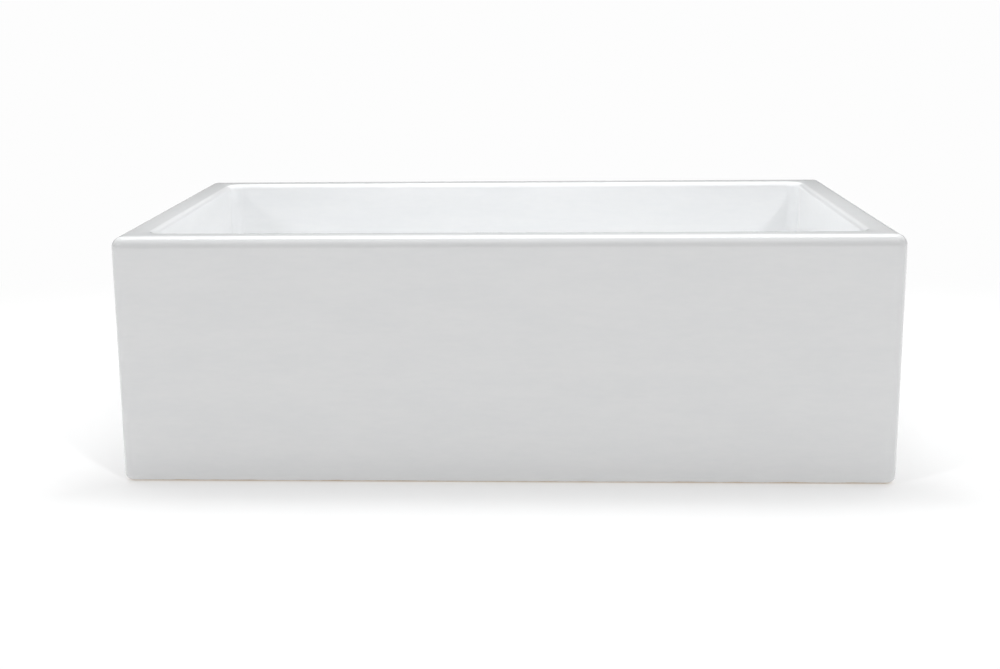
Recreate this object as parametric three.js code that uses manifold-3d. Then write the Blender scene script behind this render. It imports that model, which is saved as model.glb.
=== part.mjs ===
// A farmhouse apron front sink: a fireclay basin with a basket strainer waste.
// Millimetres, +Z up, the apron faces -Y. The origin is the middle of the plane that the basin
// stands on, so the waste hangs below it.
import * as THREE from "three";
import { mergeVertices } from "three/addons/utils/BufferGeometryUtils.js";
import Module from "manifold-3d";

// ---------------------------------------------------------------- sizes of the basin
const basinWidth = 760;
const basinDepth = 460;
const basinHeight = 245;
const sideWall = 34;
const frontWall = 32;
const backWall = 34;
const outerCornerRadius = 12; // upright corners of the outside
const rimRadius = 11; // outside edge of the rim
const rimInnerRadius = 6; // inside edge of the rim
const baseRadius = 8; // outside edge of the base
const bowlCornerRadius = 14; // upright corners of the bowl
const bowlFootRadius = 13; // cove between the bowl's walls and its floor
const drainFloor = 28; // thickness of the floor at the waste
const floorFall = 5; // how far the floor falls from the walls to the waste
const drainClearance = 2; // between the strainer's barrel and its bore in the basin
const boreChamfer = 2; // underside edge of the bore
const recessDepth = 3; // seat for the strainer's flange
const recessMargin = 2; // recess round the flange

// ---------------------------------------------------------------- running clearances
const seatGap = 0.3; // between pieces that lie on each other
const slideGap = 0.3; // between round pieces that screw or slide in each other
const looseGap = 0.5; // rings dropped over the barrel

// ---------------------------------------------------------------- sizes of the strainer body
const barrelDiameter = 86;
const flangeReach = 14; // flange beyond the barrel
const flangeBevel = 2;
const sheet = 1.5; // metal of the strainer's body
const sealThickness = 1.2;
const sealMargin = 1; // seal to the edges of the flange and of the bore
const cupTurn = 6; // round between the barrel and the bottom
const mouthTurn = 1.2; // round between the flange and the mouth
const basketLedge = 1.7; // width of the seat for the basket's rim
const basketLedgeDepth = 3; // from the top of the flange to that seat
const cupBottom = 2.5; // thickness of the bottom round the outlet
const spigotBore = 40;
const spigotWall = 3.5;
const spigotLength = 22;

// ---------------------------------------------------------------- sizes of the fastening
const gasketWidth = 12.5;
const gasketThickness = 3;
const washerWidth = 10.5;
const washerThickness = 1.5;
const lockNutWall = 7.7;
const lockNutHeight = 11;
const lockNutLugs = 6;
const lockNutLugWidth = 12;
const lockNutLugReach = 5;

// ---------------------------------------------------------------- sizes of the cross bar
const crossArms = 4;
const crossArmWidth = 4;
const crossThickness = 2;
const crossHubWall = 3.2; // ring round the stem
const crossLedge = 2; // step in the outlet that carries the arms' ends

// ---------------------------------------------------------------- sizes of the basket
const basketSheet = 1;
const basketRimWidth = 6.4; // flat rim round the mouth
const basketTaper = 4.5; // how far the wall draws in from the mouth to the floor
const basketDepth = 31;
const basketTurn = 5; // round between the wall and the floor
const slotCount = 20;
const slotWidth = 3.2;
const slotHeight = 15;
const floorHole = 4.4;
const floorHoleMargin = 1.3; // from the bush's flange to the first ring of holes
const floorHolePitch = 7; // from ring to ring
const floorHoleCounts = [10, 15]; // one ring each

// ---------------------------------------------------------------- sizes of the bush and its clip
const bushWall = 2; // round the clip's pocket
const bushFlangeWidth = 3.5;
const bushFlangeThickness = 1.5;
const bushNeckWall = 2.7; // through the basket's floor
const bushFootWidth = 2.5; // swaged over below the floor
const bushFootThickness = 1.2;
const bushHeight = 12; // above the basket's floor
const bushChamfer = 1;
const clipWidth = 2.05;
const clipThickness = 1.6;
const clipMouth = 60; // opening of the C, in degrees
const clipPocketTop = 3; // metal left over the clip's pocket

// ---------------------------------------------------------------- sizes of the stopper
const stemDiameter = 8;
const stemTravel = 9; // from closed to open
const stemTip = 6; // reach below the seal, into the cross bar
const stemTipTaper = 1.5;
const grooveDepth = 0.6;
const collarWidth = 3.5; // stem's collar, let into the seal
const collarThickness = 1.2;
const knobDiameter = 26;
const knobHeight = 11;
const knobLift = 3; // from the bush to the closed knob
const knobWaistWall = 2.2; // round the stem's socket
const knobCove = 4; // hollow under the head, for the fingertips
const knobRound = 2; // edge of the head
const knobCrown = 2; // rise of the head's top
const knobSocket = 8; // how far the stem goes into the knob
const rubberLap = 8; // beyond the outlet's edge
const rubberThickness = 3.8;
const plateMargin = 6; // inside the rubber's edge
const plateThickness = 1.2;
const stemNutWall = 2.2; // at its flats
const stemNutHeight = 3.4;

// ---------------------------------------------------------------- sizes of the tailpiece
const tailDiameter = 38.1;
const tailWall = 1.2;
const tailLength = 102;
const tailFlangeMargin = 0.8; // inside the spigot's outside
const tailFlangeThickness = 1.5;
const tailWasherThickness = 2;
const couplingWall = 3.2;
const couplingHeight = 17;
const couplingLip = 2;
const couplingRibs = 10;
const couplingRibWidth = 4;
const couplingRibReach = 1.8;

// ---------------------------------------------------------------- heights, from the floor down
const recessFloor = drainFloor - recessDepth;
const flangeUnderside = recessFloor + sealThickness + 2 * seatGap;
const flangeTop = flangeUnderside + sheet;
const basketSeat = flangeTop - basketLedgeDepth;
const basketTop = basketSeat + seatGap + basketSheet;
const basketFloor = basketTop - basketDepth; // top face of the basket's floor
const basketUnderside = basketFloor - basketSheet;
const bushTop = basketFloor + bushHeight;
const bushUnderside = basketUnderside - seatGap - bushFootThickness;
const stemNutTop = bushUnderside - seatGap - stemTravel;
const plateTop = stemNutTop - stemNutHeight - seatGap;
const rubberTop = plateTop - plateThickness - seatGap;
const rubberUnderside = rubberTop - rubberThickness;
const cupFloor = rubberUnderside - seatGap;
const cupUnderside = cupFloor - cupBottom;
const spigotEnd = cupUnderside - spigotLength;
const tailFlangeTop = spigotEnd - 2 * seatGap - tailWasherThickness;
const lipTop = tailFlangeTop - tailFlangeThickness - seatGap;
const gasketTop = -seatGap;
const washerTop = gasketTop - gasketThickness - seatGap;
const lockNutTop = washerTop - washerThickness - seatGap;
const clipTop = bushTop - clipPocketTop - seatGap;

// ---------------------------------------------------------------- radii that several pieces share
const barrelRadius = barrelDiameter / 2;
const drainRadius = barrelRadius + drainClearance;
const flangeRadius = barrelRadius + flangeReach;
const cupRadius = barrelRadius - sheet;
const ledgeRadius = cupRadius + basketLedge;
const basketRimRadius = ledgeRadius - slideGap;
const basketMouthRadius = basketRimRadius - basketRimWidth;
const basketFloorRadius = basketMouthRadius - basketTaper;
const outletRadius = spigotBore / 2;
const spigotRadius = outletRadius + spigotWall;
const stemRadius = stemDiameter / 2;
const stemBore = stemRadius + slideGap; // of what the stem slides or sits in
const clipRadius = stemRadius + slideGap / 2 + clipWidth;
const clipPocketRadius = clipRadius + slideGap;
const bushRadius = clipPocketRadius + bushWall;
const bushFlangeRadius = bushRadius + bushFlangeWidth;
const bushNeckRadius = stemBore + bushNeckWall;
const collarRadius = stemRadius + collarWidth;
const rubberRadius = outletRadius + rubberLap;
const plateRadius = rubberRadius - plateMargin;
const tailRadius = tailDiameter / 2;
const tailFlangeRadius = spigotRadius - tailFlangeMargin;

// ---------------------------------------------------------------- tools for the shapes
const wasm = await Module();
wasm.setup();

function solid(geometry) {
  const bare = geometry.index ? geometry.toNonIndexed() : geometry.clone();
  bare.deleteAttribute("normal");
  bare.deleteAttribute("uv");
  const shared = mergeVertices(bare, 1e-4);
  const vertProperties = shared.attributes.position.array;
  const triVerts = new Uint32Array(shared.index.array);
  return new wasm.Manifold(new wasm.Mesh({ numProp: 3, vertProperties, triVerts }));
}

function geometryOf(manifold) {
  const { vertProperties, triVerts } = manifold.getMesh();
  const geometry = new THREE.BufferGeometry();
  geometry.setAttribute("position", new THREE.Float32BufferAttribute(vertProperties, 3));
  return geometry.setIndex([...triVerts]);
}

// Points of an arc as [x, y], both ends included; angles in degrees.
function arc(x, y, radius, from, to, steps) {
  return Array.from({ length: steps + 1 }, (_, i) => {
    const angle = THREE.MathUtils.degToRad(from + ((to - from) * i) / steps);
    return [x + radius * Math.cos(angle), y + radius * Math.sin(angle)];
  });
}

// Turns a profile of [radius, height] about Z. It runs outwards at the bottom and up outside.
function turned(profile, segments) {
  const points = profile.map(([radius, height]) => new THREE.Vector2(radius, height));
  return new THREE.LatheGeometry(points, segments).rotateX(Math.PI / 2);
}

// The same for a profile that goes round a bore and closes on itself.
function turnedRing(profile, segments = 40) {
  return turned([...profile, profile[0]], segments);
}

function flatRing(bore, radius, top, thickness) {
  const bottom = top - thickness;
  return turnedRing([[bore, bottom], [radius, bottom], [radius, top], [bore, top]]);
}

function extrude(shape, top, thickness, curveSegments) {
  const geometry = new THREE.ExtrudeGeometry(shape, { depth: thickness, bevelEnabled: false, curveSegments });
  return geometry.translate(0, 0, top - thickness);
}

function roundHole(radius, steps) {
  return new THREE.Path(arc(0, 0, radius, 360, 0, steps).map(([x, y]) => new THREE.Vector2(x, y)));
}

// A round body with arms, lugs or ribs standing out of it, round a bore.
function lugged(count, bodyRadius, tipRadius, width, bore, boreSteps = 48) {
  const shape = new THREE.Shape();
  const pitch = (2 * Math.PI) / count;
  const tip = Math.asin(width / 2 / tipRadius);
  const root = Math.asin(width / 2 / bodyRadius);
  for (let i = 0; i < count; i += 1) {
    shape.absarc(0, 0, tipRadius, i * pitch - tip, i * pitch + tip, false);
    shape.absarc(0, 0, bodyRadius, i * pitch + root, (i + 1) * pitch - root, false);
  }
  shape.holes.push(roundHole(bore, boreSteps));
  return shape;
}

// ---------------------------------------------------------------- basin
const cornerSteps = 6;
const edgeSteps = 4;
const drainSteps = 48;

// One level of the basin: a rectangle with round corners, drawn in by an inset.
function outline({ left, right, front, back, radius }, inset, height) {
  const r = Math.max(radius - inset, 0.5);
  const x0 = left + inset + r;
  const x1 = right - inset - r;
  const y0 = front + inset + r;
  const y1 = back - inset - r;
  const corners = [[x1, y1, 0], [x0, y1, 90], [x0, y0, 180], [x1, y0, 270]];
  return corners
    .flatMap(([x, y, start]) => arc(x, y, r, start, start + 90, cornerSteps))
    .map(([x, y]) => [x, y, height]);
}

// Skins a stack of levels, and closes its first and last level on a point each.
function loft(levels, firstPoint, lastPoint) {
  const count = levels[0].length;
  const end = levels.length * count;
  const index = [];
  for (let i = 0; i < count; i += 1) {
    const j = (i + 1) % count;
    index.push(end, j, i);
    for (let level = count; level < end; level += count) {
      const below = level - count;
      index.push(below + i, below + j, level + j, below + i, level + j, level + i);
    }
    index.push(end + 1, end - count + i, end - count + j);
  }
  const positions = [...levels.flat(2), ...firstPoint, ...lastPoint];
  const geometry = new THREE.BufferGeometry();
  geometry.setAttribute("position", new THREE.Float32BufferAttribute(positions, 3));
  return geometry.setIndex(index);
}

// The fired shell: up the outside from the base, over the rim, down into the bowl.
function basinShell() {
  const outside = {
    left: -basinWidth / 2,
    right: basinWidth / 2,
    front: -basinDepth / 2,
    back: basinDepth / 2,
    radius: outerCornerRadius,
  };
  const bowl = {
    left: outside.left + sideWall,
    right: outside.right - sideWall,
    front: outside.front + frontWall,
    back: outside.back - backWall,
    radius: bowlCornerRadius,
  };
  const footCentre = drainFloor + floorFall + bowlFootRadius;
  const baseEdge = arc(baseRadius, baseRadius, baseRadius, 270, 180, edgeSteps);
  const rimOutside = arc(rimRadius, basinHeight - rimRadius, rimRadius, 180, 90, edgeSteps);
  const rimInside = arc(-rimInnerRadius, basinHeight - rimInnerRadius, rimInnerRadius, 90, 0, edgeSteps);
  const foot = arc(bowlFootRadius, footCentre, bowlFootRadius, 180, 270, edgeSteps);
  const levels = [
    ...[...baseEdge, ...rimOutside].map(([inset, height]) => outline(outside, inset, height)),
    ...[...rimInside, ...foot].map(([inset, height]) => outline(bowl, inset, height)),
  ];
  return loft(levels, [0, 0, 0], [0, 0, drainFloor]);
}

// The bore for the waste, with a seat for the strainer's flange let into the floor.
function drainCutter() {
  const bore = drainRadius;
  const recess = flangeRadius + recessMargin;
  const above = drainFloor + floorFall + recessDepth;
  return turned([
    [0, -boreChamfer],
    [bore + 2 * boreChamfer, -boreChamfer],
    [bore, boreChamfer],
    [bore, recessFloor],
    [recess, recessFloor],
    [recess, above],
    [0, above],
  ], drainSteps);
}

function basin() {
  return geometryOf(solid(basinShell()).subtract(solid(drainCutter())));
}

// ---------------------------------------------------------------- strainer body and its fastening
function flangeSeal() {
  const top = flangeUnderside - seatGap;
  return flatRing(drainRadius + sealMargin, flangeRadius - sealMargin, top, sealThickness);
}

// Flange, basket seat, barrel, bottom and outlet spigot, drawn in one piece from sheet.
function strainerBody() {
  const innerTurn = cupTurn - sheet;
  const turnCentre = barrelRadius - cupTurn;
  const outletLedge = cupFloor - crossThickness - 2 * seatGap;
  return turnedRing([
    [outletRadius, spigotEnd],
    [spigotRadius, spigotEnd],
    [spigotRadius, cupUnderside],
    ...arc(turnCentre, cupUnderside + cupTurn, cupTurn, 270, 360, 3),
    [barrelRadius, basketSeat - sheet],
    [ledgeRadius + sheet, basketSeat - sheet],
    [ledgeRadius + sheet, flangeUnderside],
    [flangeRadius, flangeUnderside],
    [flangeRadius, flangeTop - sheet / 2],
    [flangeRadius - flangeBevel, flangeTop],
    ...arc(ledgeRadius + mouthTurn, flangeTop - mouthTurn, mouthTurn, 90, 180, 3),
    [ledgeRadius, basketSeat],
    [cupRadius, basketSeat],
    ...arc(turnCentre, cupFloor + innerTurn, innerTurn, 360, 270, 3),
    [outletRadius + crossLedge, cupFloor],
    [outletRadius + crossLedge, outletLedge],
    [outletRadius, outletLedge],
  ]);
}

// Arms across the outlet, round a ring that guides the stem.
function crossBar() {
  const reach = outletRadius + crossLedge - slideGap;
  const shape = lugged(crossArms, stemBore + crossHubWall, reach, crossArmWidth, stemBore, 24);
  return extrude(shape, cupFloor - seatGap, crossThickness, 4);
}

function overBarrel(width, top, thickness) {
  const bore = barrelRadius + looseGap;
  return flatRing(bore, bore + width, top, thickness);
}

// A ring nut with lugs for a spanner.
function lockNut() {
  const bore = barrelRadius + slideGap;
  const body = bore + lockNutWall;
  const shape = lugged(lockNutLugs, body, body + lockNutLugReach, lockNutLugWidth, bore);
  return extrude(shape, lockNutTop, lockNutHeight, 6);
}

// ---------------------------------------------------------------- basket
function basketShell() {
  const mouth = basketMouthRadius;
  const rim = basketRimRadius;
  const hole = bushNeckRadius + slideGap;
  const rimUnderside = basketTop - basketSheet;
  const turnCentre = basketUnderside + basketTurn;
  const turnRadius = basketFloorRadius - basketTurn;
  const slope = (Math.atan2(basketTaper, basketDepth) * 180) / Math.PI;
  return turnedRing([
    [hole, basketUnderside],
    ...arc(turnRadius, turnCentre, basketTurn, 270, 360 - slope, 3),
    [mouth, rimUnderside - basketSheet],
    [mouth + basketSheet, rimUnderside],
    [rim, rimUnderside],
    [rim, basketTop],
    [mouth, basketTop],
    [mouth - basketSheet, rimUnderside],
    ...arc(turnRadius, turnCentre, basketTurn - basketSheet, 360 - slope, 270, 3),
    [hole, basketFloor],
  ], 2 * slotCount);
}

// An upright slot with round ends, cut outwards through the wall.
function slotCutter() {
  const half = slotWidth / 2;
  const straight = slotHeight / 2 - half;
  const shape = new THREE.Shape();
  shape.absarc(0, straight, half, 0, Math.PI, false);
  shape.absarc(0, -straight, half, Math.PI, 2 * Math.PI, false);
  const cutter = new THREE.ExtrudeGeometry(shape, {
    depth: basketMouthRadius,
    bevelEnabled: false,
    curveSegments: 2,
  });
  cutter.rotateX(Math.PI / 2).rotateZ(Math.PI / 2);
  return cutter.translate(basketFloorRadius / 2, 0, (basketFloor + basketTop) / 2);
}

function floorHoleCutter(pitchRadius) {
  const cutter = new THREE.CylinderGeometry(floorHole / 2, floorHole / 2, 4 * basketSheet, 6);
  return cutter.rotateX(Math.PI / 2).translate(pitchRadius, 0, basketFloor);
}

function perforated(shell, makeCutter, count, offset) {
  let left = shell;
  for (let i = 0; i < count; i += 1) {
    const angle = ((i + offset) * 2 * Math.PI) / count;
    left = left.subtract(solid(makeCutter().rotateZ(angle)));
  }
  return left;
}

function basket() {
  let shell = perforated(solid(basketShell()), slotCutter, slotCount, 0.25);
  const firstRing = bushFlangeRadius + floorHoleMargin + floorHole / 2;
  floorHoleCounts.forEach((count, ring) => {
    shell = perforated(shell, () => floorHoleCutter(firstRing + ring * floorHolePitch), count, 0);
  });
  return geometryOf(shell);
}

// The bush is dropped into the basket's floor and swaged over below it.
function basketHub() {
  const foot = bushNeckRadius + bushFootWidth;
  const pocketBottom = clipTop - clipThickness - seatGap;
  const flangeBottom = basketFloor + seatGap;
  return turnedRing([
    [stemBore, bushUnderside],
    [foot, bushUnderside],
    [foot, basketUnderside - seatGap],
    [bushNeckRadius, basketUnderside - seatGap],
    [bushNeckRadius, flangeBottom],
    [bushFlangeRadius, flangeBottom],
    [bushFlangeRadius, flangeBottom + bushFlangeThickness],
    [bushRadius, flangeBottom + bushFlangeThickness],
    [bushRadius, bushTop - bushChamfer],
    [bushRadius - bushChamfer, bushTop],
    [stemBore, bushTop],
    [stemBore, clipTop + seatGap],
    [clipPocketRadius, clipTop + seatGap],
    [clipPocketRadius, pocketBottom],
    [stemBore, pocketBottom],
  ], 28);
}

// A spring wire bent to a C, the catch of the stem.
function stemClip() {
  const half = THREE.MathUtils.degToRad(clipMouth / 2);
  const shape = new THREE.Shape();
  shape.absarc(0, 0, clipRadius, half, 2 * Math.PI - half, false);
  shape.absarc(0, 0, clipRadius - clipWidth, 2 * Math.PI - half, half, true);
  return extrude(shape, clipTop, clipThickness, 16);
}

// ---------------------------------------------------------------- stopper
const knobUnderside = bushTop + knobLift;

// The post: a tip that the cross bar guides, a collar under the seal, two catches for the clip.
function stopperStem() {
  const tipEnd = rubberUnderside - stemTip;
  const groove = stemRadius - grooveDepth;
  const half = clipThickness / 2 + seatGap;
  const closedCatch = clipTop - clipThickness / 2;
  const openCatch = closedCatch - stemTravel;
  const top = knobUnderside + knobSocket;
  return turned([
    [0, tipEnd],
    [stemRadius - stemTipTaper, tipEnd],
    [stemRadius, tipEnd + stemTipTaper],
    [stemRadius, rubberUnderside],
    [collarRadius, rubberUnderside],
    [collarRadius, rubberUnderside + collarThickness],
    [stemRadius, rubberUnderside + collarThickness],
    ...[openCatch, closedCatch].flatMap((height) => [
      [stemRadius, height - half],
      [groove, height - half + grooveDepth],
      [groove, height + half - grooveDepth],
      [stemRadius, height + half],
    ]),
    [stemRadius, top],
    [0, top],
  ], 24);
}

// Turned knob with a waist for the fingers.
function stopperKnob() {
  const waist = stemBore + knobWaistWall;
  const head = knobDiameter / 2;
  const top = knobUnderside + knobHeight;
  const edge = top - knobCrown - knobRound;
  return turned([
    [0, knobUnderside + knobSocket + seatGap],
    [stemBore, knobUnderside + knobSocket + seatGap],
    [stemBore, knobUnderside],
    [waist, knobUnderside],
    ...arc(waist + knobCove, edge - knobRound - knobCove / 4, knobCove, 185, 115, 3),
    ...arc(head - knobRound, edge, knobRound, 270, 400, 4),
    [head / 2, top - knobCrown / 4],
    [0, top],
  ], 30);
}

function sealPlate() {
  return flatRing(stemBore, plateRadius, plateTop, plateThickness);
}

// Rubber disc with a recess for the stem's collar and a thinner lip.
function stopperSeal() {
  const recess = collarRadius + slideGap;
  const recessTop = rubberUnderside + collarThickness + seatGap;
  return turnedRing([
    [recess, rubberUnderside],
    [rubberRadius, rubberUnderside],
    [rubberRadius, rubberUnderside + rubberThickness / 2],
    [plateRadius, rubberTop],
    [stemBore, rubberTop],
    [stemBore, recessTop],
    [recess, recessTop],
  ]);
}

function sealNut() {
  const corner = (stemBore + stemNutWall) / Math.cos(Math.PI / 6);
  const points = arc(0, 0, corner, 0, 300, 5).map(([x, y]) => new THREE.Vector2(x, y));
  const shape = new THREE.Shape(points);
  shape.holes.push(roundHole(stemBore, 24));
  return extrude(shape, stemNutTop, stemNutHeight, 1);
}

// ---------------------------------------------------------------- tailpiece
function tailpieceWasher() {
  const bore = tailRadius - tailWall;
  return flatRing(bore, tailFlangeRadius, spigotEnd - seatGap, tailWasherThickness);
}

function tailpiece() {
  const bottom = tailFlangeTop - tailLength;
  const flangeBottom = tailFlangeTop - tailFlangeThickness;
  return turnedRing([
    [tailRadius - tailWall, bottom],
    [tailRadius, bottom],
    [tailRadius, flangeBottom],
    [tailFlangeRadius, flangeBottom],
    [tailFlangeRadius, tailFlangeTop],
    [tailRadius - tailWall, tailFlangeTop],
  ]);
}

// A slip nut: ribbed outside, a lip below that carries the tailpiece's flange.
function couplingNut() {
  const bore = spigotRadius + slideGap;
  const body = bore + couplingWall;
  const top = lipTop - couplingLip + couplingHeight;
  const lipBore = tailRadius + slideGap;
  const shape = lugged(couplingRibs, body, body + couplingRibReach, couplingRibWidth, lipBore);
  const blank = solid(extrude(shape, top, couplingHeight, 2));
  const above = top + couplingLip;
  const room = turned([[0, lipTop], [bore, lipTop], [bore, above], [0, above]], 40);
  return geometryOf(blank.subtract(solid(room)));
}

// ---------------------------------------------------------------- assembly
const glaze = { color: 0xf4f5f6, roughness: 0.12, metalness: 0 };
const polishedSteel = { color: 0xc9cccf, roughness: 0.2, metalness: 1 };
const springSteel = { color: 0x9a9da1, roughness: 0.35, metalness: 1 };
const brass = { color: 0xc2a15a, roughness: 0.35, metalness: 1 };
const rubber = { color: 0x1d1d1f, roughness: 0.8, metalness: 0 };
const putty = { color: 0xe6e2d8, roughness: 0.7, metalness: 0 };
const fibre = { color: 0x8c6f4e, roughness: 0.9, metalness: 0 };
const nylon = { color: 0xe9e9e4, roughness: 0.5, metalness: 0 };

const sink = new THREE.Group();
const pieces = [
  ["basin", basin(), glaze],
  ["flange_seal", flangeSeal(), putty],
  ["strainer_body", strainerBody(), polishedSteel],
  ["cross_bar", crossBar(), polishedSteel],
  ["rubber_gasket", overBarrel(gasketWidth, gasketTop, gasketThickness), rubber],
  ["friction_washer", overBarrel(washerWidth, washerTop, washerThickness), fibre],
  ["lock_nut", lockNut(), brass],
  ["tailpiece_washer", tailpieceWasher(), nylon],
  ["tailpiece", tailpiece(), polishedSteel],
  ["coupling_nut", couplingNut(), brass],
  ["basket", basket(), polishedSteel],
  ["basket_hub", basketHub(), polishedSteel],
  ["stem_clip", stemClip(), springSteel],
  ["stopper_stem", stopperStem(), polishedSteel],
  ["stopper_knob", stopperKnob(), polishedSteel],
  ["seal_plate", sealPlate(), polishedSteel],
  ["stopper_seal", stopperSeal(), rubber],
  ["seal_nut", sealNut(), brass],
];
for (const [name, geometry, finish] of pieces) {
  const mesh = new THREE.Mesh(geometry, new THREE.MeshStandardMaterial(finish));
  mesh.name = name;
  sink.add(mesh);
}

export default sink;
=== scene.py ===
from math import asin, atan2, cos, hypot, pi, radians, sin

import bmesh
import bpy
from mathutils import Matrix, Vector


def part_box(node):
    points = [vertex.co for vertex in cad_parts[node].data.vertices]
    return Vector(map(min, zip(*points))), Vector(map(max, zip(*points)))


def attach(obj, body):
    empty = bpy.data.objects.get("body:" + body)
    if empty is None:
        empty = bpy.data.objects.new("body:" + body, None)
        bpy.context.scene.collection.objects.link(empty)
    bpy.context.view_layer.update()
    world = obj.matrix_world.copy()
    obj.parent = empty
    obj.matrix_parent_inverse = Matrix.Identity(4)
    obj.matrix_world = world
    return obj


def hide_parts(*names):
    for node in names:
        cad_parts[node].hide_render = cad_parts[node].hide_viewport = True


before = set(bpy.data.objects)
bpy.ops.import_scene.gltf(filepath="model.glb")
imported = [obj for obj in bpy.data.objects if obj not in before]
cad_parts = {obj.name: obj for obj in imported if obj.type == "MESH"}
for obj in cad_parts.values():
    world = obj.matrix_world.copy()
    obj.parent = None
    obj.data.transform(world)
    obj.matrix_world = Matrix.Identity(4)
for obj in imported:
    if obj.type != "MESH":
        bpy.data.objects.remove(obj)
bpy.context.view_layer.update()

# ---------------------------------------------------------------- camera
# A tripod shot from in front and above the rim, just right of the middle, tilted down.
# The lens, the place and the angles come from fitting the sink's outline to the photograph.
PICTURE_WIDTH, FOCAL_LENGTH = 1000, 1490  # in pixels, as are the two shifts
SHIFT_RIGHT, SHIFT_UP = 33.1, -3.2
SENSOR_WIDTH = 36

camera = bpy.data.objects.new("camera", bpy.data.cameras.new("camera"))
camera.data.sensor_width = SENSOR_WIDTH
camera.data.lens = FOCAL_LENGTH / PICTURE_WIDTH * SENSOR_WIDTH
camera.data.shift_x = SHIFT_RIGHT / PICTURE_WIDTH
camera.data.shift_y = SHIFT_UP / PICTURE_WIDTH
camera.data.clip_start = 0.05
camera.data.clip_end = 200
camera.matrix_world = (
    Matrix.Translation((0.034, -1.626, 0.461))
    @ Matrix.Rotation(radians(2.88), 4, "Z")
    @ Matrix.Rotation(radians(90 - 12.41), 4, "X")
    @ Matrix.Rotation(radians(-0.64), 4, "Z")
)
bpy.context.scene.collection.objects.link(camera)
bpy.context.scene.camera = camera
bpy.context.scene.view_settings.view_transform = "Standard"


# ---------------------------------------------------------------- finishes
# No piece of its own: how a finish is put together, for the sections that follow.
class Shade:
    """An output in a finish's node tree. Arithmetic on it adds Math nodes."""

    def __init__(self, tree, output=None):
        self.tree = tree
        self.output = output

    def node(self, kind, settings=None, sockets=None, output=0):
        """Adds a node: its settings first, then the values or links of its sockets."""
        made = self.tree.nodes.new(kind)
        for name, value in (settings or {}).items():
            setattr(made, name, value)
        for name, value in (sockets or {}).items():
            if isinstance(value, Shade):
                self.tree.links.new(value.output, made.inputs[name])
            else:
                made.inputs[name].default_value = value
        return Shade(self.tree, made.outputs[output])

    def math(self, operation, *values):
        return self.node("ShaderNodeMath", {"operation": operation}, dict(enumerate(values)))

    def __add__(self, other):
        return self.math("ADD", self, other)

    def __sub__(self, other):
        return self.math("SUBTRACT", self, other)

    def __rsub__(self, other):
        return self.math("SUBTRACT", other, self)

    def __mul__(self, other):
        return self.math("MULTIPLY", self, other)

    def __pow__(self, other):
        return self.math("POWER", self, other)

    __radd__ = __add__
    __rmul__ = __mul__

    def at_least(self, other):
        return self.math("MAXIMUM", self, other)

    def either_way(self):
        """Its distance from 0, whichever side it lies on."""
        return self.math("ABSOLUTE", self)

    def rise(self, low, high):
        """0 below low, 1 above high, smooth in between."""
        return self.node(
            "ShaderNodeMapRange",
            {"interpolation_type": "SMOOTHSTEP"},
            {"Value": self, "From Min": low, "From Max": high},
        )

    def noise(self, place, scale, detail=2.0, roughness=0.5, distortion=0.0):
        return self.node("ShaderNodeTexNoise", {}, {
            "Vector": place, "Scale": scale, "Detail": detail,
            "Roughness": roughness, "Distortion": distortion,
        })

    def bump(self, height):
        return self.node("ShaderNodeBump", {}, {"Strength": 1.0, "Distance": 1.0, "Height": height})

    def mix(self, factor, first, second):
        """A colour between two: the first where the factor is 0."""
        return self.node("ShaderNodeMix", {"data_type": "RGBA"}, {0: factor, 6: first, 7: second}, 2)


def finish(name, **constants):
    """A new material with one Principled node. Returns it, its tree's maker and a way to feed the node."""
    material = bpy.data.materials.new(name)
    material.use_nodes = True
    tree = material.node_tree
    shader = tree.nodes["Principled BSDF"]
    for socket, value in constants.items():
        shader.inputs[socket.replace("_", " ").title().replace("Ior", "IOR")].default_value = value

    def feed(**links):
        for socket, value in links.items():
            tree.links.new(value.output, shader.inputs[socket.replace("_", " ").title()])

    return material, Shade(tree), feed


# ---------------------------------------------------------------- basin
# Slip-cast fireclay, white glaze fired on in one go. The base stands on the kiln shelf,
# so it stays bare clay, and the glaze stops about two millimetres above it.
MM = 0.001
basin_low, basin_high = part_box("basin")
half_width, half_depth, basin_top = basin_high.x, basin_high.y, basin_high.z
wall_side, wall_front, wall_back = 34 * MM, 32 * MM, 34 * MM
drain_floor, floor_fall = 28 * MM, 5 * MM
seat_depth, seat_radius, drain_radius = 3 * MM, 59 * MM, 45 * MM


def arc(x, y, radius, start, end, steps):
    """Points of an arc, both ends included; angles in degrees."""
    turns = [radians(start + (end - start) * i / steps) for i in range(steps + 1)]
    return [(x + radius * cos(turn), y + radius * sin(turn)) for turn in turns]


def rounded_loop(left, right, front, back, radius, inset, height):
    """One level of the basin: a rectangle with round corners, its sides cut fine."""
    radius = max(radius - inset, 0.5 * MM)
    x0, x1 = left + inset + radius, right - inset - radius
    y0, y1 = front + inset + radius, back - inset - radius
    loop = []
    for x, y, start in ((x1, y1, 0), (x0, y1, 90), (x0, y0, 180), (x1, y0, 270)):
        loop += arc(x, y, radius, start, start + 90, 12)
    fine = []
    for i, (x, y) in enumerate(loop):
        nx, ny = loop[(i + 1) % len(loop)]
        cuts = 1
        if i % 13 == 12:
            cuts = 44 if (i // 13) % 2 == 0 else 26
        fine += [(x + (nx - x) * c / cuts, y + (ny - y) * c / cuts, height) for c in range(cuts)]
    return fine


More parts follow.
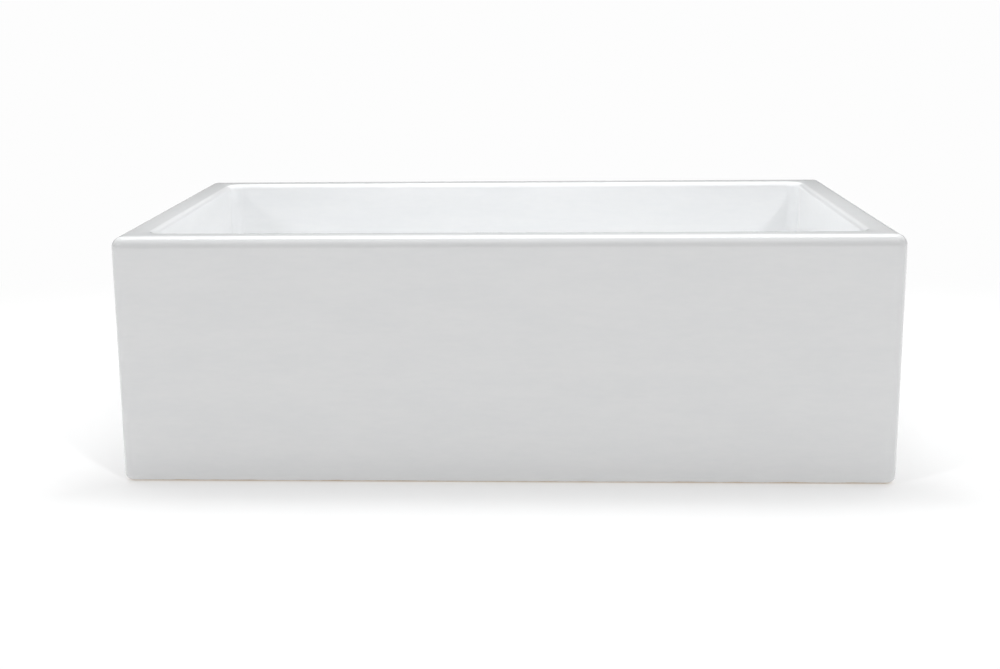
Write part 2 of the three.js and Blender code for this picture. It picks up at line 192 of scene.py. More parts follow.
def meshed(name, points, faces):
    """A mesh object: coincident points joined, faces facing out, edges over 35 degrees sharp."""
    mesh = bpy.data.meshes.new(name)
    mesh.from_pydata(points, [], faces)
    body = bmesh.new()
    body.from_mesh(mesh)
    bmesh.ops.remove_doubles(body, verts=body.verts, dist=1e-7)
    bmesh.ops.delete(body, geom=[edge for edge in body.edges if not edge.link_faces], context="EDGES")
    bmesh.ops.recalc_face_normals(body, faces=body.faces)
    body.to_mesh(mesh)
    body.free()
    mesh.shade_smooth()
    mesh.set_sharp_from_angle(angle=radians(35))
    piece = bpy.data.objects.new(name, mesh)
    bpy.context.scene.collection.objects.link(piece)
    return piece


def skinned(name, loops, closed=False, capped=False):
    """A mesh object skinned over loops of as many points each."""
    count = len(loops[0])
    points = [point for loop in loops for point in loop]
    faces = [tuple(range(count)), tuple(range(len(points) - count, len(points)))] if capped else []
    for band in range(len(loops) if closed else len(loops) - 1):
        low, high = band * count, (band + 1) % len(loops) * count
        for i in range(count):
            j = (i + 1) % count
            faces.append((low + i, low + j, high + j, high + i))
    return meshed(name, points, faces)


outside = (-half_width, half_width, -half_depth, half_depth, 12 * MM)
bowl = (
    -half_width + wall_side, half_width - wall_side, -half_depth + wall_front, half_depth - wall_back, 14 * MM,
)
base_edge = arc(8 * MM, 8 * MM, 8 * MM, 270, 180, 8)
rim_outside = arc(11 * MM, basin_top - 11 * MM, 11 * MM, 180, 90, 12)
rim_inside = arc(-6 * MM, basin_top - 6 * MM, 6 * MM, 90, 0, 10)
foot_height = drain_floor + floor_fall
cove = arc(13 * MM, foot_height + 13 * MM, 13 * MM, 180, 270, 12)


def between(first, last, cuts):
    """Levels spread evenly between two, without either of them."""
    steps = [(i + 1) / (cuts + 1) for i in range(cuts)]
    return [tuple(a + (b - a) * step for a, b in zip(first, last)) for step in steps]


outer_levels = base_edge + between(base_edge[-1], rim_outside[0], 16) + rim_outside
inner_levels = rim_inside + between(rim_inside[-1], cove[0], 14) + cove
loops = [rounded_loop(*outside, inset, height) for inset, height in outer_levels]
loops += [rounded_loop(*bowl, inset, height) for inset, height in inner_levels]


def ring_under(loop, radius, height):
    """The circle whose points lie on the lines from the loop's points to the middle."""
    return [(x / hypot(x, y) * radius, y / hypot(x, y) * radius, height) for x, y, _ in loop]


def floor_ring(loop, share, radius):
    """A loop on the bowl's floor, between its foot and the circle round the drain."""
    ring = []
    for x, y, _ in loop:
        reach = hypot(x, y)
        r = reach + (radius - reach) * share
        ring.append((x / reach * r, y / reach * r, drain_floor + floor_fall * r / reach))
    return ring


foot_loop = loops[-1]
edge_round = 1.2 * MM
for share in (0.06, 0.14, 0.24, 0.36, 0.48, 0.6, 0.72, 0.84, 0.93, 1.0):
    loops.append(floor_ring(foot_loop, share, seat_radius + edge_round))
seat_edge = loops[-1]
for turn in (22.5, 45, 67.5, 90):
    sink = edge_round * (1 - cos(radians(turn)))
    radius = seat_radius + edge_round * (1 - sin(radians(turn)))
    ring = ring_under(foot_loop, radius, 0)
    loops.append([(x, y, z - sink) for (x, y, _), (_, _, z) in zip(ring, seat_edge)])
seat_floor = drain_floor - seat_depth
for radius, height in (
    (seat_radius, seat_floor + 0.8 * MM),
    (seat_radius - 0.25 * MM, seat_floor + 0.25 * MM),
    (seat_radius - 0.8 * MM, seat_floor),
    (52 * MM, seat_floor),
    (drain_radius + 0.8 * MM, seat_floor),
    (drain_radius + 0.25 * MM, seat_floor - 0.25 * MM),
    (drain_radius, seat_floor - 0.8 * MM),
    (drain_radius, 14 * MM),
    (drain_radius, 2 * MM),
    (drain_radius + 2 * MM, 0),
):
    loops.append(ring_under(foot_loop, radius, height))
base_loop, drain_foot = loops[0], loops[-1]
for share in (0.3, 0.65):
    loops.append([
        (x + (u - x) * share, y + (v - y) * share, 0)
        for (x, y, _), (u, v, _) in zip(drain_foot, base_loop)
    ])

basin = skinned("basin_fired", loops, closed=True)

glaze, shade, feed = finish("white_glaze", roughness=0.09, ior=1.52)
place = shade.node("ShaderNodeTexCoord", output="Object")
height = shade.node("ShaderNodeSeparateXYZ", sockets={"Vector": place}, output="Z")
wide = shade.node("ShaderNodeMapping", {}, {"Vector": place, "Scale": (1.0, 1.0, 4.0)})
cloud = shade.noise(wide, 9.0, 4.0, 0.6)
streak = shade.noise(wide, 60.0, 3.0, 0.6)
mottle = (cloud - 0.5) * 0.6 + (streak - 0.5) * 0.4
white = shade.mix((mottle + 0.5).rise(0.3, 0.7), (0.855, 0.862, 0.868, 1), (0.885, 0.888, 0.89, 1))
clay_edge = height + (shade.noise(place, 45.0, 3.0) - 0.5) * 0.003
bare = 1 - clay_edge.rise(0.0012, 0.0028)
grain = shade.noise(place, 900.0, 3.0)
clay = shade.mix(grain.rise(0.35, 0.65), (0.56, 0.44, 0.32, 1), (0.68, 0.57, 0.44, 1))
peel = shade.noise(place, 140.0, 2.0) * 0.6 + shade.noise(place, 420.0, 1.0) * 0.2
relief = peel * (1 - bare) * 0.00004 + grain * bare * 0.0003
feed(
    base_color=shade.mix(bare, white, clay),
    roughness=bare * 0.8 + (1 - bare) * (0.07 + cloud * 0.05),
    normal=shade.bump(relief),
)
basin.data.materials.append(glaze)
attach(basin, "root")
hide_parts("basin")

# ---------------------------------------------------------------- flange seal
# A roll of sealing putty pressed out flat under the strainer's flange, so its outer edge is uneven.
# Off-white and matt. It holds the strainer to the recess in the basin's floor.
AROUND = 120


def rounded(corners, radius, steps=4):
    """A closed outline with its corners rounded, and a point on each side that keeps the sides flat."""
    points = []
    for i, (x, y) in enumerate(corners):
        ends = []
        for u, v in (corners[i - 1], corners[(i + 1) % len(corners)]):
            length = hypot(u - x, v - y)
            cut = min(radius, 0.4 * length)
            ends.append([(x + (u - x) * reach / length, y + (v - y) * reach / length)
                         for reach in (cut, min(1.3 * cut, 0.45 * length))])
        (start, hold_before), (end, hold_after) = ends
        points.append(hold_before)
        for step in range(steps + 1):
            t = step / steps
            points.append(tuple(
                (1 - t) ** 2 * a + 2 * t * (1 - t) * c + t * t * b for a, c, b in zip(start, (x, y), end)
            ))
        points.append(hold_after)
    return points


def turned(name, profile, change=None, around=AROUND):
    """Turns a closed profile of (radius, height) in millimetres about Z.

    change(radius, height, turn) may move its points."""
    loops = []
    for step in range(around):
        turn = 2 * pi * step / around
        moved = [change(r, z, turn) if change else (r, z) for r, z in profile]
        loops.append([(r * MM * cos(turn), r * MM * sin(turn), z * MM) for r, z in moved])
    return skinned(name, loops, closed=True)


def fitted(piece, node, body, material):
    """Gives a piece its material and puts it in the place of a CAD node."""
    piece.data.materials.append(material)
    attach(piece, body)
    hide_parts(node)


def pressed_out(r, z, turn):
    """The putty's wavy outer edge."""
    if r < 52:
        return r, z
    return r - 0.35 - 0.3 * sin(5 * turn + 1) * sin(3 * turn) - 0.12 * sin(23 * turn), z


putty_ring = turned("putty_ring", rounded([(46, 25.3), (56, 25.3), (56, 26.5), (46, 26.5)], 0.5), pressed_out)
putty, shade, feed = finish("sealing_putty", roughness=0.78, ior=1.45)
place = shade.node("ShaderNodeTexCoord", output="Object")
lumps = shade.noise(place, 160.0, 4.0)
feed(
    base_color=shade.mix(lumps.rise(0.3, 0.7), (0.74, 0.715, 0.64, 1), (0.84, 0.82, 0.76, 1)),
    normal=shade.bump(lumps * 0.0003),
)
fitted(putty_ring, "flange_seal", "root", putty)


# ---------------------------------------------------------------- strainer body
# Drawn from stainless sheet: flange, seat for the basket, cup and outlet spigot in one piece,
# polished where it shows. A thread is rolled into the barrel for the nut and into the spigot.
def thread(low, high, pitch, depth, crest):
    """A change for turned: cuts a screw thread into a face of the crest's radius between two heights."""
    def cut(r, z, turn):
        if abs(r - crest) > 0.01 or not low < z < high:
            return r, z
        run_out = min(1, (z - low) / pitch, (high - z) / pitch)
        wave = 0.5 - 0.5 * cos(2 * pi * (z / pitch - turn / (2 * pi)))
        return r - depth * run_out * min(1, 1.25 * wave), z
    return cut


def both(first, second):
    return lambda r, z, turn: second(*first(r, z, turn), turn)


def brushed(name, color, low, high, scale):
    """Polished metal with fine lines round the piece's axis; its roughness runs from low to high."""
    metal, shade, feed = finish(name, metallic=1.0)
    place = shade.node("ShaderNodeTexCoord", output="Object")
    x, y, z = (
        shade.node("ShaderNodeSeparateXYZ", sockets={"Vector": place}, output=axis) for axis in "XYZ"
    )
    out = (x * x + y * y) ** 0.5
    rings = shade.node("ShaderNodeCombineXYZ", {}, {"X": out, "Z": z})
    lines = shade.noise(rings, scale, 3.0, 0.7)
    smear = shade.noise(place, 70.0, 3.0)
    dull = tuple(0.82 * value for value in color)
    feed(
        base_color=shade.mix((smear * 0.7 + lines * 0.3).rise(0.3, 0.75), (*color, 1), (*dull, 1)),
        roughness=low + (smear * 0.6 + lines * 0.4).rise(0.3, 0.7) * (high - low),
        normal=shade.bump(lines * 0.000012 + smear * 0.00003),
    )
    return metal


cup = [
    (20, -50), (23.5, -50), *between((23.5, -49), (23.5, -29.2), 96), (23.5, -28),
    *arc(37, -22, 6, 270, 360, 8), *between((43, -21.8), (43, 23.6), 168), (43, 23.8),
    (44.7, 23.8), (44.7, 26.8), (56.6, 26.8), (57, 27.1), (57, 27.5),
    *arc(54.6, 25.9, 2.4, 42, 90, 5), (50, 28.28),
    *arc(44.4, 27.1, 1.2, 90, 180, 6), (43.2, 25.6), (42.9, 25.3), (41.9, 25.3), (41.5, 24.9),
    *arc(37, -21, 4.5, 360, 270, 8), (36.6, -25.5), (23, -25.5), (22.2, -25.65), (22, -25.9),
    (22, -28.1), (21.6, -28.1), (20.4, -28.1), (20, -28.5), (20, -29),
]
barrel_thread, spigot_thread = thread(-20.5, 22.5, 2.1, 0.55, 43), thread(-48, -30.2, 1.65, 0.5, 23.5)
strainer = turned("strainer_cup", cup, both(barrel_thread, spigot_thread))
cup_steel = brushed("strainer_steel", (0.60, 0.61, 0.62), 0.13, 0.24, 900.0)
fitted(strainer, "strainer_body", "root", cup_steel)


# ---------------------------------------------------------------- cross bar
# A stamped stainless spider. The ends of its four arms lie on the step in the outlet,
# and the ring in its middle guides the tip of the stopper's stem.
def lugged(count, body, tip, width, corner):
    """An outline with arms, lugs or ribs of one width standing out of a round body, in millimetres."""
    root, end = asin(width / 2 / body), asin(width / 2 / tip)
    points = []
    for lug in range(count):
        middle = 2 * pi * lug / count
        side = [(body, middle - root), (tip, middle - end)]
        for t in (-0.5, 0, 0.5):
            side.append((tip, middle + t * end))
        side += [(tip, middle + end), (body, middle + root)]
        gap = 2 * pi / count - 2 * root
        side += [(body, middle + root + gap * t / 8) for t in range(1, 8)]
        points += [(r * cos(turn), r * sin(turn)) for r, turn in side]
    return rounded(points, corner, 3)


def bored(radius, low, high, edge):
    """The inside of a plain bore, its edges broken, from the top down."""
    wide = radius + edge
    return [
        (wide + 0.3, high), (wide, high), (radius, high - edge),
        (radius, low + edge), (wide, low), (wide + 0.3, low),
    ]


def stamped(name, outline, inside, low, high, edge, crown=None):
    """A plate or nut between two heights; inside gives its bore, crown(radius) may lower its edges."""
    count = len(outline)
    steps = []
    for i, (x, y) in enumerate(outline):
        u, v = outline[(i + 1) % count]
        steps.append((atan2(v, u) - atan2(y, x) + pi) % (2 * pi) - pi)
    for _ in range(3):
        steps = [sum(steps[(i + k) % count] for k in range(-3, 4)) / 7 for i in range(count)]
    turns = [atan2(outline[0][1], outline[0][0]) + sum(steps[:i]) for i in range(count)]
    inset = []
    for i, (x, y) in enumerate(outline):
        (a, b), (c, d) = outline[i - 1], outline[(i + 1) % count]
        length = hypot(c - a, d - b)
        inset.append((x - (d - b) / length * edge, y + (c - a) / length * edge))
    drop = [crown(hypot(x, y)) if crown else 0 for x, y in outline]
    loops = [
        [(x, y, low + down) for (x, y), down in zip(inset, drop)],
        [(x, y, low + down + edge) for (x, y), down in zip(outline, drop)],
        [(x, y, high - down - edge) for (x, y), down in zip(outline, drop)],
        [(x, y, high - down) for (x, y), down in zip(inset, drop)],
    ]
    for radius, height in inside:
        loops.append([(radius * cos(turn), radius * sin(turn), height) for turn in turns])
    return skinned(name, [[(x * MM, y * MM, z * MM) for x, y, z in loop] for loop in loops], closed=True)


spider = stamped(
    "outlet_spider", lugged(4, 7.5, 21.7, 4, 0.5), bored(4.3, -27.8, -25.8, 0.25), -27.8, -25.8, 0.25,
)
spider_steel = brushed("spider_steel", (0.56, 0.57, 0.58), 0.22, 0.34, 500.0)
fitted(spider, "cross_bar", "root", spider_steel)

# ---------------------------------------------------------------- rubber gasket
# A moulded ring of black rubber under the basin, round the barrel, which the nut squeezes.
gasket = turned("moulded_gasket", rounded([(43.5, -3.3), (56, -3.3), (56, -0.3), (43.5, -0.3)], 0.5))


def moulded_rubber(name):
    rubber, shade, feed = finish(name, ior=1.5)
    place = shade.node("ShaderNodeTexCoord", output="Object")
    bloom = shade.noise(place, 90.0, 4.0)
    grain = shade.noise(place, 1500.0, 2.0)
    feed(
        base_color=shade.mix(bloom.rise(0.4, 0.75), (0.017, 0.017, 0.018, 1), (0.04, 0.04, 0.042, 1)),
        roughness=0.5 + bloom * 0.3,
        normal=shade.bump(grain * 0.00004),
    )
    return rubber


fitted(gasket, "rubber_gasket", "root", moulded_rubber("gasket_rubber"))

# ---------------------------------------------------------------- friction washer
# A ring die-cut from brown fibre sheet, so that the nut turns without dragging the rubber round.
fibre_ring = turned("fibre_ring", rounded([(43.5, -5.1), (54, -5.1), (54, -3.6), (43.5, -3.6)], 0.2))
fibre, shade, feed = finish("fibre_sheet", roughness=0.88, ior=1.4)
place = shade.node("ShaderNodeTexCoord", output="Object")
strands = shade.noise(place, 500.0, 5.0, 0.7, 1.5)
feed(
    base_color=shade.mix(strands.rise(0.35, 0.65), (0.27, 0.17, 0.10, 1), (0.47, 0.33, 0.21, 1)),
    normal=shade.bump(strands * 0.0002),
)
fitted(fibre_ring, "friction_washer", "root", fibre)


# ---------------------------------------------------------------- lock nut
# Cast brass ring nut, machined on its faces, with six lugs for a spanner. It draws the
# strainer's flange down on the putty from below.
def cast_brass(name, grain_depth):
    brass, shade, feed = finish(name, metallic=1.0)
    place = shade.node("ShaderNodeTexCoord", output="Object")
    tarnish = shade.noise(place, 45.0, 4.0, 0.6)
    sand = shade.noise(place, 700.0, 3.0, 0.6)
    feed(
        base_color=shade.mix(tarnish.rise(0.38, 0.72), (0.76, 0.58, 0.29, 1), (0.52, 0.37, 0.18, 1)),
        roughness=0.28 + tarnish * 0.22 + sand * 0.08,
        normal=shade.bump(sand * grain_depth),
    )
    return brass


ring_nut = stamped("spanner_nut", lugged(6, 51, 56, 12, 1.0), bored(43.3, -16.4, -5.4, 0.6), -16.4, -5.4, 0.6)
fitted(ring_nut, "lock_nut", "root", cast_brass("nut_brass", 0.00012))

# ---------------------------------------------------------------- tailpiece washer
# A natural nylon washer between the spigot's end and the tailpiece's flange.
nylon_ring = turned("nylon_ring", rounded([(17.85, -52.3), (22.7, -52.3), (22.7, -50.3), (17.85, -50.3)], 0.35))
nylon, shade, feed = finish("natural_nylon", roughness=0.42, ior=1.53)
place = shade.node("ShaderNodeTexCoord", output="Object")
flow = shade.noise(place, 60.0, 3.0)
feed(base_color=shade.mix(flow, (0.80, 0.79, 0.74, 1), (0.87, 0.865, 0.83, 1)))
fitted(nylon_ring, "tailpiece_washer", "root", nylon)

# ---------------------------------------------------------------- tailpiece
# Chromed brass tube, its top flared to a flange that the coupling nut holds up.
# The lower end goes into the trap of the drain.
tube = turned("drain_tube", [
    (17.95, -154.6), (18.95, -154.6), (19.05, -154.5), (19.05, -153),
    *between((19.05, -150), (19.05, -56), 6),
    (19.05, -55), (19.1, -54.35), (19.35, -54.1), (22.2, -54.1), (22.7, -53.7), (22.7, -53), (22.2, -52.6),
    (18.6, -52.6), (18.1, -52.9), (17.85, -53.6), *between((17.85, -56), (17.85, -150), 6),
    (17.85, -153), (17.85, -154.5),
])
chrome, shade, feed = finish("chromed_brass", metallic=1.0)
place = shade.node("ShaderNodeTexCoord", output="Object")
lengthwise = shade.node("ShaderNodeMapping", {}, {"Vector": place, "Scale": (1.0, 1.0, 0.06)})
drawn = shade.noise(lengthwise, 400.0, 3.0)
spots = shade.noise(place, 60.0, 4.0)
feed(
    base_color=shade.mix(spots.rise(0.45, 0.8), (0.80, 0.81, 0.82, 1), (0.70, 0.71, 0.72, 1)),
    roughness=0.05 + spots * 0.06 + drawn * 0.05,
    normal=shade.bump(drawn * 0.000008),
)
fitted(tube, "tailpiece", "root", chrome)

# ---------------------------------------------------------------- coupling nut
# Cast brass slip nut with ten grip ribs. Its lip at the bottom lifts the tailpiece's flange
# against the nylon washer as the nut is screwed up on the spigot.
inside = [
    (24.6, -39.4), (24.3, -39.4), (23.8, -39.9), (23.8, -54.1), (23.5, -54.4),
    (19.65, -54.4), (19.35, -54.7), (19.35, -56.1), (19.65, -56.4), (20, -56.4),
]
slip_nut = stamped("slip_nut", lugged(10, 27, 28.8, 4, 0.6), inside, -56.4, -39.4, 0.5)
fitted(slip_nut, "coupling_nut", "root", cast_brass("slip_nut_brass", 0.0001))

# ---------------------------------------------------------------- basket
# Deep-drawn from 1 mm stainless sheet, then pierced: twenty slots round the wall, two rings of
# holes in the floor. Its flat rim lies loose on the strainer's seat, so it lifts out.
CUTS = 240
basket_points, basket_faces, basket_index = [], [], {}


def corner(r, z, turn):
    """The number of a point of the basket's mesh; a point that is there already is used again."""
    point = (r * MM * cos(turn), r * MM * sin(turn), z * MM)
    key = tuple(round(value * 1e6) for value in point)
    if key not in basket_index:
        basket_index[key] = len(basket_points)
        basket_points.append(point)
    return basket_index[key]


def plain_band(low, high):
    """Sheet all round between two stations; a station is a point outside and one inside, as (r, z)."""
    for side in (0, 1):
        for cut in range(CUTS):
            here, there = 2 * pi * cut / CUTS, 2 * pi * ((cut + 1) % CUTS) / CUTS
            basket_faces.append([corner(*low[side], here), corner(*low[side], there),
                                 corner(*high[side], there), corner(*high[side], here)])


def pierced_band(low, high, count, offset, half_width, half_straight):
    """The same with holes: round where half_straight is 0, otherwise slots with round ends."""
    per_cell = CUTS // count
    length = hypot(high[0][0] - low[0][0], high[0][1] - low[0][1])
    up_cuts = max(4, round(length / 1.2))
    edge = [(i / per_cell - 0.5, 0) for i in range(per_cell)]
    edge += [(0.5, i / up_cuts) for i in range(up_cuts)]
    edge += [(0.5 - i / per_cell, 1) for i in range(per_cell)]
    edge += [(-0.5, 1 - i / up_cuts) for i in range(up_cuts)]
    width = pi * (low[0][0] + high[0][0]) / count
    for cell in range(count):
        middle = 2 * pi * (cell + offset) / count
        rings = {}
        for side in (0, 1):
            rim, hole = [], []
            for across, along in edge:
                step = round((middle + across * 2 * pi / count) / (2 * pi) * CUTS) % CUTS
                r, z = (a + (b - a) * along for a, b in zip(low[side], high[side]))
                rim.append(corner(r, z, 2 * pi * step / CUTS))
                u, v = across * width, (along - 0.5) * length
                u, v = u / hypot(u, v), v / hypot(u, v)
                reach = half_width / abs(u) if abs(u) > 1e-6 else 1e9
                if reach * abs(v) > half_straight:
                    flat = abs(v) * half_straight
                    reach = flat + (flat * flat - half_straight ** 2 + half_width ** 2) ** 0.5
                along = 0.5 + v * reach / length
                r, z = (a + (b - a) * along for a, b in zip(low[side], high[side]))
                hole.append(corner(r, z, middle + u * reach / r))
            rings[side] = hole
            for i in range(len(rim)):
                j = (i + 1) % len(rim)
                basket_faces.append([rim[i], rim[j], hole[j], hole[i]])
        for i in range(len(edge)):
            j = (i + 1) % len(edge)
            basket_faces.append([rings[0][i], rings[0][j], rings[1][j], rings[1][i]])


wall_foot, wall_top = ((31.948, -1.118), (30.958, -0.975)), ((36.5, 24.6), (35.5, 25.3))
slots_low, slots_high = (
    tuple(tuple(a + (b - a) * share for a, b in zip(*side)) for side in zip(wall_foot, wall_top))
    for share in (0.1057, 0.8445)
)
stations = [((r, -5.4), (r, -4.4)) for r in (7.3, 12, 19, 26, 27)]
stations += list(zip(arc(27, -0.4, 5, 270, 351.74, 7), arc(27, -0.4, 4, 270, 351.74, 7)))[1:]
stations += [slots_low, slots_high, wall_top, ((36.6, 25.15), (35.7, 26.1)), ((36.95, 25.5), (36.1, 26.5)),
             ((37.5, 25.6), (36.7, 26.6)), ((42.3, 25.6), (42.3, 26.6)), ((42.75, 25.7), (42.75, 26.5)),
             ((42.9, 25.95), (42.9, 26.25))]
for low, high in zip(stations, stations[1:]):
    if low[0][0] == 12:
        pierced_band(low, high, 10, 0, 2.2, 0)
    elif low[0][0] == 19:
        pierced_band(low, high, 15, 0, 2.2, 0)
    elif low is slots_low:
        pierced_band(low, high, 20, 0.25, 1.6, 5.9)
    else:
        plain_band(low, high)
for end in (stations[0], stations[-1]):
    for cut in range(CUTS):
        here, there = 2 * pi * cut / CUTS, 2 * pi * ((cut + 1) % CUTS) / CUTS
        basket_faces.append([corner(*end[0], here), corner(*end[0], there),
                             corner(*end[1], there), corner(*end[1], here)])
basket = meshed("pierced_basket", basket_points, basket_faces)
basket_steel = brushed("basket_steel", (0.61, 0.62, 0.63), 0.14, 0.27, 700.0)
fitted(basket, "basket", "basket", basket_steel)

# ---------------------------------------------------------------- basket hub
# A turned stainless bush, dropped through the basket's floor and swaged over below it.
# A pocket inside holds the spring clip.
bush = turned("turned_bush", rounded([
    (4.3, -6.9), (9.5, -6.9), (9.5, -5.7), (7, -5.7), (7, -4.1), (12, -4.1), (12, -2.6), (8.5, -2.6),
    (8.5, 6.6), (7.5, 7.6), (4.3, 7.6), (4.3, 4.6), (6.5, 4.6), (6.5, 2.4), (4.3, 2.4),
], 0.35))
turned_steel = brushed("turned_steel", (0.64, 0.65, 0.66), 0.10, 0.19, 1200.0)
fitted(bush, "basket_hub", "basket", turned_steel)

# ---------------------------------------------------------------- stem clip
# Spring wire, rolled flat and bent to a C. It lies in the bush's pocket and snaps into the
# grooves of the stem, which holds the stopper open or closed.
section = rounded([(4.15, 2.7), (6.2, 2.7), (6.2, 4.3), (4.15, 4.3)], 0.45)
bend = [radians(30 + 300 * step / 60) for step in range(61)]
clip = skinned("bent_clip", [
    [(r * MM * cos(turn), r * MM * sin(turn), z * MM) for r, z in section] for turn in bend
], capped=True)
spring_wire = brushed("spring_wire", (0.52, 0.53, 0.55), 0.25, 0.4, 900.0)
fitted(clip, "stem_clip", "basket", spring_wire)

# ---------------------------------------------------------------- stopper stem
# Turned stainless post with two grooves for the clip, a collar under the seal and a thread
# above it for the nut. Its tip runs in the spider's ring.
post = turned("grooved_post", [
    (0, -31.2), (2.4, -31.2), (2.6, -31.1), (3.9, -29.8), (4, -29.6), (4, -25.3), (4.1, -25.2),
    (7.3, -25.2), (7.5, -25), (7.5, -24.2), (7.3, -24), (4, -24), *between((4, -23.9), (4, -15), 64),
    (4, -14.5), (4, -6.6), (3.9, -6.5),
    (3.45, -6.05), (3.4, -5.95), (3.4, -5.05), (3.45, -4.95), (3.9, -4.5), (4, -4.4), (4, 2.4),
    (3.9, 2.5), (3.45, 2.95), (3.4, 3.05), (3.4, 3.95), (3.45, 4.05), (3.9, 4.5), (4, 4.6),
    (4, 18.3), (3.7, 18.6), (0, 18.6),
], thread(-23.5, -15.2, 1.25, 0.35, 4), 72)
fitted(post, "stopper_stem", "stopper", turned_steel)

# ---------------------------------------------------------------- stopper knob
# Turned from stainless bar and polished, hollowed under the head for the fingertips.
# It is pressed on the post.
crown = [
    (12.53 * (1 - t), 18.886 + 2.7 * (1 - (1 - t) ** 2.2))
    for t in (0.08, 0.18, 0.3, 0.43, 0.57, 0.71, 0.85, 0.95)
]
knob = turned("polished_knob", [
    (0, 18.9), (4.1, 18.9), (4.3, 18.7), (4.3, 11), (4.7, 10.6), (6.1, 10.6), (6.5, 11), (6.5, 13.6),
    *arc(10.5, 14.6, 4, 185, 119, 8), (9.3, 17.9), (9.8, 17.2), (10.3, 16.1),
    *arc(11, 17.6, 2, 270, 400, 16), *crown, (0, 21.59),
])
knob_steel = brushed("knob_steel", (0.68, 0.69, 0.70), 0.07, 0.15, 1500.0)
fitted(knob, "stopper_knob", "stopper", knob_steel)

# ---------------------------------------------------------------- seal plate
# A stamped stainless washer that keeps the rubber flat under the nut.
plate = turned("backing_plate", rounded([(4.3, -21.1), (22, -21.1), (22, -19.9), (4.3, -19.9)], 0.4))
fitted(plate, "seal_plate", "stopper", cup_steel)

# ---------------------------------------------------------------- stopper seal
# A moulded rubber disc, thinner towards its lip, recessed below for the stem's collar.
disc = turned("rubber_disc", rounded([
    (7.8, -25.2), (28, -25.2), (28, -23.3), (22, -21.4), (4.3, -21.4), (4.3, -23.7), (7.8, -23.7),
], 0.5))
fitted(disc, "stopper_seal", "stopper", moulded_rubber("seal_rubber"))

# ---------------------------------------------------------------- seal nut
# A small hexagon nut of turned brass, its corners chamfered, that clamps plate and seal.
hexagon = rounded([(7.506 * cos(pi * i / 3), 7.506 * sin(pi * i / 3)) for i in range(6)], 0.6, 3)
hexagon = [p for a, b in zip(hexagon, hexagon[1:] + hexagon[:1]) for p in (a, *between(a, b, 3))]
hex_nut = stamped(
    "hexagon_nut", hexagon,
    bored(4.3, -19.6, -16.2, 0.3), -19.6, -16.2, 0.08, lambda d: max(0, d - 6.7) * 0.577,
)
fitted(hex_nut, "seal_nut", "stopper", cast_brass("hexagon_brass", 0.00002))

# ---------------------------------------------------------------- floor
# The studio's table: a white sheet lit from below, with a round hole for the waste, so that the
# sink stands flat on it as on a cabinet's rails. Away from the sink it shines as white as the wall.
STUDIO_WHITE = 0.982
HOLE_RADIUS = 70 * MM
SHEET_COLOR = (0.6, 0.6, 0.6, 1)
# The lower glow beside the sink is painted shade round its foot. From 80 mm out the sheet has its full glow.
PAINTED_SHADE_GLOW, GLOW_BEYOND = (0.39, 0.39, 0.39, 1), (0.455, 0.455, 0.455, 1)
hole = [(HOLE_RADIUS * cos(2 * pi * i / 96), HOLE_RADIUS * sin(2 * pi * i / 96)) for i in range(96)]
floor = skinned("floor", [
    [(x * spread, y * spread, height) for x, y in hole]
    for spread, height in ((1, -0.012), (1, -0.0002), (5, -0.0002), (25, -0.0002), (1000, -0.0002))
])
lit_sheet, shade, feed = finish("lit_sheet", roughness=1.0, specular_ior_level=0.0, emission_strength=1.0)
ground = shade.node("ShaderNodeTexCoord", output="Object")
across = shade.node("ShaderNodeSeparateXYZ", sockets={"Vector": ground}, output="X")
along = shade.node("ShaderNodeSeparateXYZ", sockets={"Vector": ground}, output="Y")
away = ((across * 0.62) ** 2 + along ** 2) ** 0.5
shine = away.rise(0.5, 1.0)
beside = (across.either_way() - half_width).at_least(along.either_way() - half_depth)
# Painted shade: the glow is dimmer within 80 mm of the sink's footprint.
glow_with_painted_shade = shade.mix(beside.rise(0.0, 0.08), PAINTED_SHADE_GLOW, GLOW_BEYOND)
feed(
    base_color=shade.mix(shine, SHEET_COLOR, (0, 0, 0, 1)),
    emission_color=shade.mix(shine, glow_with_painted_shade, (STUDIO_WHITE,) * 3 + (1,)),
)
floor.data.materials.append(lit_sheet)


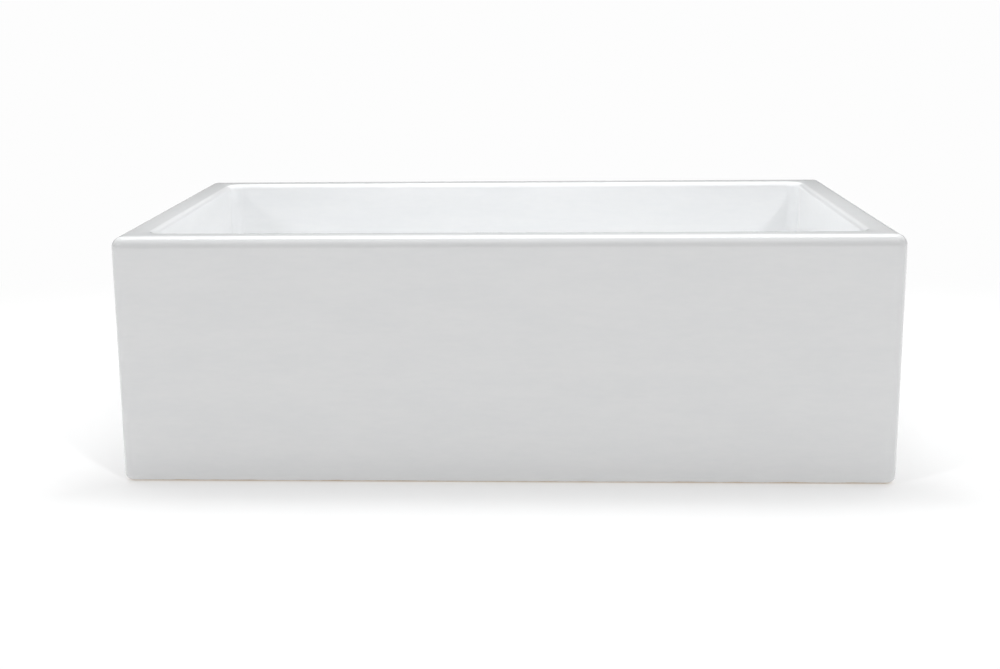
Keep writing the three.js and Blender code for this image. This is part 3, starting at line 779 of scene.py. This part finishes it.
# ---------------------------------------------------------------- light
# Two softboxes over the bowl, and two hard lamps in front, high on the left and right. The wall
# behind glows, most of all high up, and faintly high in front. What lies under the table glows a
# little too, which only the waste below the floor sees.
def softbox(name, place, target, width, depth, power, color):
    light = bpy.data.lights.new(name, "AREA")
    light.shape = "RECTANGLE"
    light.size, light.size_y, light.energy, light.color = width, depth, power, color
    lamp = bpy.data.objects.new(name, light)
    lamp.location = place
    lamp.rotation_euler = (Vector(target) - Vector(place)).to_track_quat("-Z", "Y").to_euler()
    lamp.visible_camera = False
    bpy.context.scene.collection.objects.link(lamp)


def hard_lamp(name, direction, strength):
    light = bpy.data.lights.new(name, "SUN")
    light.angle, light.energy = radians(6), strength
    lamp = bpy.data.objects.new(name, light)
    lamp.rotation_euler = Vector(direction).to_track_quat("-Z", "Y").to_euler()
    bpy.context.scene.collection.objects.link(lamp)


COOL = (0.965, 0.985, 1.0)
softbox("bowl_softbox", (0, 0.05, 1.2), (0, 0.05, 0), 1.4, 0.25, 2.35, COOL)
softbox("inner_softbox", (0, -0.08, 0.6), (0, 0.23, 0.1), 0.8, 0.2, 1.26, COOL)
hard_lamp("left_lamp", (1.3, 0.9, -1.0), 0.52)
hard_lamp("right_lamp", (-0.75, 0.9, -1.0), 0.67)

world = bpy.data.worlds.new("studio")
world.use_nodes = True
bpy.context.scene.world = world
room = Shade(world.node_tree)
seen = room.node("ShaderNodeLightPath", output="Is Camera Ray")
toward = room.node("ShaderNodeTexCoord", output="Generated")
back = room.node("ShaderNodeSeparateXYZ", sockets={"Vector": toward}, output="Y").rise(-0.1, 0.1)
up = room.node("ShaderNodeSeparateXYZ", sockets={"Vector": toward}, output="Z")
low_wall, above_wall = 1 - up.rise(0.29, 0.39), up.rise(0.73, 0.8)
ceiling = above_wall * (1 - up.rise(0.93, 0.97))
glow_behind = low_wall * 0.13 + (1 - low_wall) * (1 - above_wall) * 0.98 + ceiling * 2.15
wall_glow = back * glow_behind + (1 - back) * ceiling * 0.56
below = (1 - up.rise(-0.12, 0.0)) * 0.55
glow = seen * STUDIO_WHITE + (1 - seen) * (wall_glow + below)
world.node_tree.nodes["Background"].inputs["Color"].default_value = (1, 1, 1, 1)
world.node_tree.links.new(glow.output, world.node_tree.nodes["Background"].inputs["Strength"])
